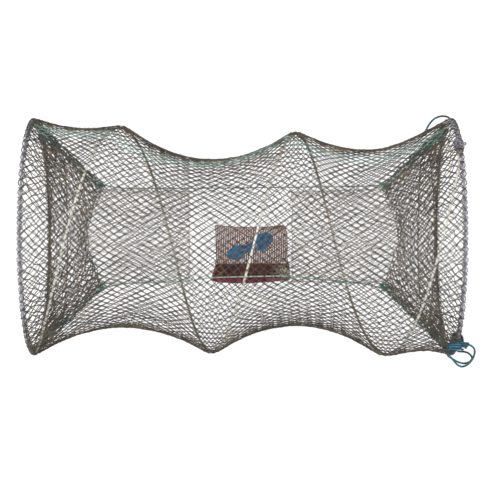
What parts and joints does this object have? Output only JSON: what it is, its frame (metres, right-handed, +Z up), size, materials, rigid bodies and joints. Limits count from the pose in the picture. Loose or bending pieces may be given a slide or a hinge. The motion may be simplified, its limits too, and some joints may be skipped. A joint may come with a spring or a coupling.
{
  "type": "crayfish trap",
  "caption": "Folding coil-spring crayfish trap: netting tube between two end rings, a net funnel with a flat throat in each end and a mesh bait pouch between them.",
  "frame": {"origin": "on the floor under the middle of the trap, which lies on its side", "axes": "+X along the trap from the left end ring to the right one, +Y to the back, +Z up"},
  "size_m": [0.6414, 0.367, 0.3503],
  "materials": {
    "zinc_wire": "galvanised spring steel wire, dull",
    "zinc_ferrule": "crimped zinc-plated steel sleeve",
    "net_twine": "knotted polyethylene netting, dark olive grey",
    "lashing_twine": "twisted grey-blue and white twine",
    "green_cord": "thin green twisted twine",
    "blue_cord": "blue laid polypropylene cord",
    "blue_line": "blue-grey thin hauling line",
    "pouch_mesh": "fine red-brown mesh cloth",
    "hem_cloth": "folded maroon cloth band"
  },
  "bodies": {
    "left_end": {"ring_left": "zinc_wire", "ferrule_left": "zinc_ferrule", "lashing_left": "lashing_twine", "funnel_left": "net_twine", "funnel_right": "net_twine", "outer_net": "net_twine", "net_seam": "green_cord", "spring_wire": "zinc_wire", "cord_front": "green_cord", "cord_back": "green_cord", "lacing_left_front": "green_cord", "lacing_left_back": "green_cord", "lacing_right_front": "green_cord", "lacing_right_back": "green_cord", "corner_knot_left_front": "green_cord", "corner_knot_left_back": "green_cord", "corner_knot_right_front": "green_cord", "corner_knot_right_back": "green_cord"},
    "right_end": {"ring_right": "zinc_wire", "ferrule_right": "zinc_ferrule", "lashing_right": "lashing_twine", "tie_hitch": "blue_cord", "tie_loop_long": "blue_cord", "tie_loop_short": "blue_cord", "top_loop": "blue_cord"},
    "bait_pouch": {"pouch_body": "pouch_mesh", "pouch_hem": "hem_cloth", "hank": "blue_line", "hank_tie": "blue_line"}
  },
  "joints": [
    {"name": "collapse", "type": "slide", "parent": "left_end", "child": "right_end", "axis": [-1, 0, 0], "range_m": [0, 0.545], "stiffness_N_per_m": 30, "springref_m": -0.1, "deforming": ["funnel_left", "funnel_right", "outer_net", "net_seam", "spring_wire", "cord_front", "cord_back", "lacing_left_front", "lacing_left_back", "lacing_right_front", "lacing_right_back", "corner_knot_left_front", "corner_knot_left_back", "corner_knot_right_front", "corner_knot_right_back"]},
    {"name": "pouch_follow", "type": "slide", "parent": "left_end", "child": "bait_pouch", "axis": [-1, 0, 0], "range_m": [0, 0.2863], "deforming": ["pouch_body", "pouch_hem", "hank", "hank_tie"]}
  ],
  "couplings": [
    {"joint": "pouch_follow", "follows": "collapse", "ratio": 0.5253}
  ]
}
